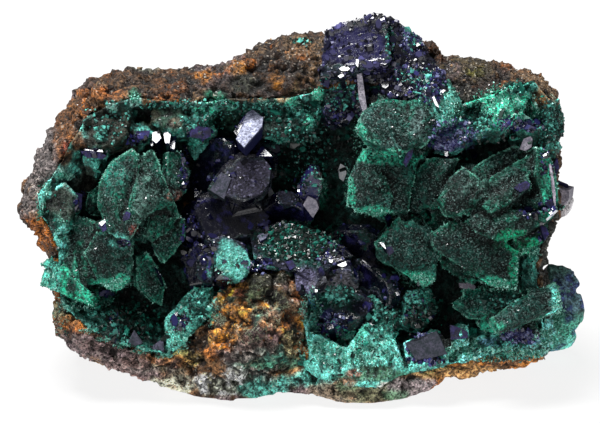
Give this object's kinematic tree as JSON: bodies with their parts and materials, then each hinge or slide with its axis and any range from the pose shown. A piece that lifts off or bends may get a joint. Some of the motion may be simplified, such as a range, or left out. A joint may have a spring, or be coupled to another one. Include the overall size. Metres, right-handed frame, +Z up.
{
  "type": "azurite and malachite specimen",
  "caption": "Rough lump of brown iron-oxide rock with an open pocket lined with malachite crust and filled with tabular azurite crystals and malachite fans.",
  "frame": {"origin": "under the middle of the specimen, on the surface that it rests on", "axes": "+Z up, the open pocket faces -Y and a little upward, +X to the right as seen from the pocket side"},
  "size_m": [0.0864, 0.0527, 0.0548],
  "materials": {
    "limonite_rock": "rough, earthy, dull",
    "malachite_lining": "finely crystalline, satin",
    "malachite_velvet": "velvety with fine sparkle",
    "malachite_bright": "velvety with fine sparkle",
    "azurite": "glassy crystal faces",
    "azurite_malachite_mix": "finely crystalline"
  },
  "bodies": {
    "root": {"matrix": "limonite_rock", "pocket_crust": "malachite_lining", "azurite_cluster": "azurite", "malachite_rosette": "malachite_velvet", "malachite_centre_fans": "malachite_velvet", "malachite_right_fans": "malachite_velvet", "malachite_lower_blades": "malachite_bright", "azurite_tower": "azurite", "azurite_side_crystal": "azurite", "rear_lobe": "azurite_malachite_mix"}
  },
  "joints": []
}
